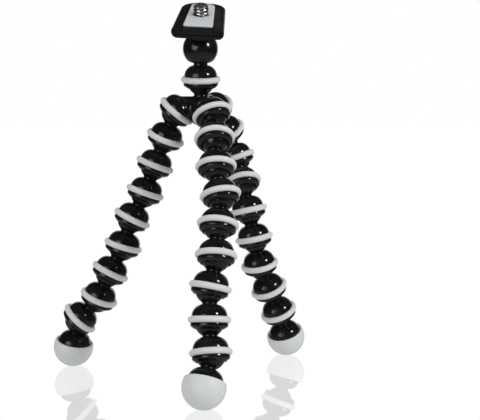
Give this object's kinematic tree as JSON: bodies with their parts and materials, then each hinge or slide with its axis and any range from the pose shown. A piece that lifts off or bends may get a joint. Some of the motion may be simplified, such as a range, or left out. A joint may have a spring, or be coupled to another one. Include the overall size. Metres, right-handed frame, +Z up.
{
  "type": "flexible leg tripod",
  "caption": "Small camera tripod with bendable legs of ball-and-socket links and rubber grip rings, a tilting head and a quick-release clip with a camera screw.",
  "frame": {"origin": "on the floor, midway between the outermost points of the feet", "axes": "+Z up, -Y towards the front leg, +X to the right of someone facing the front leg"},
  "size_m": [0.1092, 0.0918, 0.1549],
  "materials": {
    "black_plastic": "glossy moulded black",
    "charcoal_plastic": "satin moulded charcoal",
    "grey_rubber": "soft matte pale grey",
    "steel": "plated"
  },
  "bodies": {
    "hub": {"hub": "black_plastic", "hub_rings": "grey_rubber"},
    "neck": {"neck_link": "black_plastic", "neck_ring": "grey_rubber"},
    "head": {"head_receiver": "charcoal_plastic"},
    "knob": {"lock_knob": "charcoal_plastic"},
    "clip": {"clip_plate": "charcoal_plastic", "clip_pad": "grey_rubber"},
    "screw": {"camera_screw": "steel"},
    "left_1": {"left_link_1": "black_plastic", "left_ring_1": "grey_rubber"},
    "left_2": {"left_link_2": "black_plastic", "left_ring_2": "grey_rubber"},
    "left_3": {"left_link_3": "black_plastic", "left_ring_3": "grey_rubber"},
    "left_4": {"left_link_4": "black_plastic", "left_ring_4": "grey_rubber"},
    "left_5": {"left_link_5": "black_plastic", "left_ring_5": "grey_rubber"},
    "left_6": {"left_link_6": "black_plastic", "left_ring_6": "grey_rubber"},
    "left_7": {"left_link_7": "black_plastic", "left_ring_7": "grey_rubber"},
    "left_8": {"left_link_8": "black_plastic", "left_ring_8": "grey_rubber"},
    "left_foot": {"left_foot": "grey_rubber"},
    "front_1": {"front_link_1": "black_plastic", "front_ring_1": "grey_rubber"},
    "front_2": {"front_link_2": "black_plastic", "front_ring_2": "grey_rubber"},
    "front_3": {"front_link_3": "black_plastic", "front_ring_3": "grey_rubber"},
    "front_4": {"front_link_4": "black_plastic", "front_ring_4": "grey_rubber"},
    "front_5": {"front_link_5": "black_plastic", "front_ring_5": "grey_rubber"},
    "front_6": {"front_link_6": "black_plastic", "front_ring_6": "grey_rubber"},
    "front_7": {"front_link_7": "black_plastic", "front_ring_7": "grey_rubber"},
    "front_8": {"front_link_8": "black_plastic", "front_ring_8": "grey_rubber"},
    "front_foot": {"front_foot": "grey_rubber"},
    "right_1": {"right_link_1": "black_plastic", "right_ring_1": "grey_rubber"},
    "right_2": {"right_link_2": "black_plastic", "right_ring_2": "grey_rubber"},
    "right_3": {"right_link_3": "black_plastic", "right_ring_3": "grey_rubber"},
    "right_4": {"right_link_4": "black_plastic", "right_ring_4": "grey_rubber"},
    "right_5": {"right_link_5": "black_plastic", "right_ring_5": "grey_rubber"},
    "right_6": {"right_link_6": "black_plastic", "right_ring_6": "grey_rubber"},
    "right_7": {"right_link_7": "black_plastic", "right_ring_7": "grey_rubber"},
    "right_8": {"right_link_8": "black_plastic", "right_ring_8": "grey_rubber"},
    "right_foot": {"right_foot": "grey_rubber"}
  },
  "joints": [
    {"name": "neck_tilt", "type": "hinge", "parent": "hub", "child": "neck", "pos_m": [0.00929, 0.01778, 0.12155], "axis": [1, 0, 0], "range_deg": [-25, 21]},
    {"name": "head_tilt", "type": "hinge", "parent": "neck", "child": "head", "pos_m": [0.00929, 0.01566, 0.13494], "axis": [1, 0, 0], "range_deg": [-36, 4]},
    {"name": "lock_knob_turn", "type": "hinge", "parent": "head", "child": "knob", "pos_m": [0.00929, 0.01566, 0.13494], "axis": [0.0523, 0.9058, 0.4204], "continuous": true},
    {"name": "clip_slide", "type": "slide", "parent": "head", "child": "clip", "axis": [-0.0523, -0.9058, -0.4204], "range_m": [0, 0.032]},
    {"name": "camera_screw_turn", "type": "hinge", "parent": "clip", "child": "screw", "pos_m": [0.00929, 0.01566, 0.13494], "axis": [0.0349, -0.4224, 0.9058], "continuous": true},
    {"name": "left_hip", "type": "hinge", "parent": "hub", "child": "left_1", "pos_m": [-0.00163, 0.01974, 0.10867], "axis": [-0.0523, 0.9986, 0], "range_deg": [-15, 51]},
    {"name": "front_hip", "type": "hinge", "parent": "hub", "child": "front_1", "pos_m": [0.01442, 0.00979, 0.10744], "axis": [-0.9994, 0.0349, 0], "range_deg": [-28, 22]},
    {"name": "right_hip", "type": "hinge", "parent": "hub", "child": "right_1", "pos_m": [0.01508, 0.02856, 0.10975], "axis": [0.0349, -0.9994, 0], "range_deg": [-24, 36]},
    {"name": "left_ball_2", "type": "hinge", "parent": "left_1", "child": "left_2", "pos_m": [-0.00625, 0.02165, 0.09736], "axis": [-0.9275, -0.0486, 0.3706], "range_deg": [-42, 23]},
    {"name": "front_ball_2", "type": "hinge", "parent": "front_1", "child": "front_2", "pos_m": [0.01545, 0.00218, 0.09775], "axis": [-0.0308, -0.8826, 0.4692], "range_deg": [-29, 33]},
    {"name": "right_ball_2", "type": "hinge", "parent": "right_1", "child": "right_2", "pos_m": [0.0201, 0.03416, 0.09994], "axis": [0.9394, 0.0328, 0.3414], "range_deg": [-2, 62]},
    {"name": "left_ball_3", "type": "hinge", "parent": "left_2", "child": "left_3", "pos_m": [-0.01082, 0.02141, 0.08588], "axis": [0.0523, -0.9986, 0], "range_deg": [-34, 30]},
    {"name": "front_ball_3", "type": "hinge", "parent": "front_2", "child": "front_3", "pos_m": [0.01611, -0.00363, 0.08687], "axis": [0.9994, -0.0349, 0], "range_deg": [-34, 30]},
    {"name": "right_ball_3", "type": "hinge", "parent": "right_2", "child": "right_3", "pos_m": [0.02433, 0.03345, 0.08835], "axis": [-0.0349, 0.9994, 0], "range_deg": [-26, 10]},
    {"name": "left_ball_4", "type": "hinge", "parent": "left_3", "child": "left_4", "pos_m": [-0.01497, 0.02076, 0.07425], "axis": [0.8837, 0.0463, -0.4657], "range_deg": [-32, 32]},
    {"name": "front_ball_4", "type": "hinge", "parent": "front_3", "child": "front_4", "pos_m": [0.01807, -0.00903, 0.07592], "axis": [0.0308, 0.8826, -0.4692], "range_deg": [-46, 18]},
    {"name": "right_ball_4", "type": "hinge", "parent": "right_3", "child": "right_4", "pos_m": [0.02673, 0.02697, 0.07809], "axis": [-0.9777, -0.0341, -0.2072], "range_deg": [-6, 58]},
    {"name": "left_ball_5", "type": "hinge", "parent": "left_4", "child": "left_5", "pos_m": [-0.02069, 0.02003, 0.06332], "axis": [-0.0523, 0.9986, 0], "range_deg": [-23, 43]},
    {"name": "front_ball_5", "type": "hinge", "parent": "front_4", "child": "front_5", "pos_m": [0.017, -0.01478, 0.06503], "axis": [-0.9994, 0.0349, 0], "range_deg": [-28, 36]},
    {"name": "right_ball_5", "type": "hinge", "parent": "right_4", "child": "right_5", "pos_m": [0.02933, 0.02577, 0.06606], "axis": [0.0349, -0.9994, 0], "range_deg": [-32, 32]},
    {"name": "left_ball_6", "type": "hinge", "parent": "left_5", "child": "left_6", "pos_m": [-0.02443, 0.0194, 0.05156], "axis": [-0.8837, -0.0463, 0.4657], "range_deg": [-33, 29]},
    {"name": "front_ball_6", "type": "hinge", "parent": "front_5", "child": "front_6", "pos_m": [0.0164, -0.01979, 0.05375], "axis": [-0.0336, -0.9608, 0.2753], "range_deg": [-24, 40]},
    {"name": "right_ball_6", "type": "hinge", "parent": "right_5", "child": "right_6", "pos_m": [0.0319, 0.02543, 0.05398], "axis": [0.9777, 0.0341, 0.2072], "range_deg": [-45, 20]},
    {"name": "left_ball_7", "type": "hinge", "parent": "left_6", "child": "left_7", "pos_m": [-0.03012, 0.01824, 0.04065], "axis": [0.0523, -0.9986, 0], "range_deg": [-36, 28]},
    {"name": "front_ball_7", "type": "hinge", "parent": "front_6", "child": "front_7", "pos_m": [0.01413, -0.02306, 0.04204], "axis": [0.9994, -0.0349, 0], "range_deg": [-31, 31]},
    {"name": "right_ball_7", "type": "hinge", "parent": "right_6", "child": "right_7", "pos_m": [0.03435, 0.02766, 0.04207], "axis": [-0.0349, 0.9994, 0], "range_deg": [-23, 43]},
    {"name": "left_ball_8", "type": "hinge", "parent": "left_7", "child": "left_8", "pos_m": [-0.03513, 0.01884, 0.02936], "axis": [0.7213, 0.0378, -0.6916], "range_deg": [-24, 29]},
    {"name": "front_ball_8", "type": "hinge", "parent": "front_7", "child": "front_8", "pos_m": [0.01402, -0.02646, 0.03016], "axis": [0.0324, 0.9267, -0.3743], "range_deg": [-28, 36]},
    {"name": "right_ball_8", "type": "hinge", "parent": "right_7", "child": "right_8", "pos_m": [0.03872, 0.03081, 0.03095], "axis": [-0.9269, -0.0324, -0.374], "range_deg": [-32, 32]},
    {"name": "left_ankle", "type": "hinge", "parent": "left_8", "child": "left_foot", "pos_m": [-0.04368, 0.01883, 0.02044], "axis": [-0.0523, 0.9986, 0], "range_deg": [0, 64]},
    {"name": "front_ankle", "type": "hinge", "parent": "front_8", "child": "front_foot", "pos_m": [0.01472, -0.03111, 0.01873], "axis": [-0.9994, 0.0349, 0], "range_deg": [-40, 20]},
    {"name": "right_ankle", "type": "hinge", "parent": "right_8", "child": "right_foot", "pos_m": [0.0431, 0.03395, 0.01982], "axis": [0.0349, -0.9994, 0], "range_deg": [-28, 40]}
  ]
}
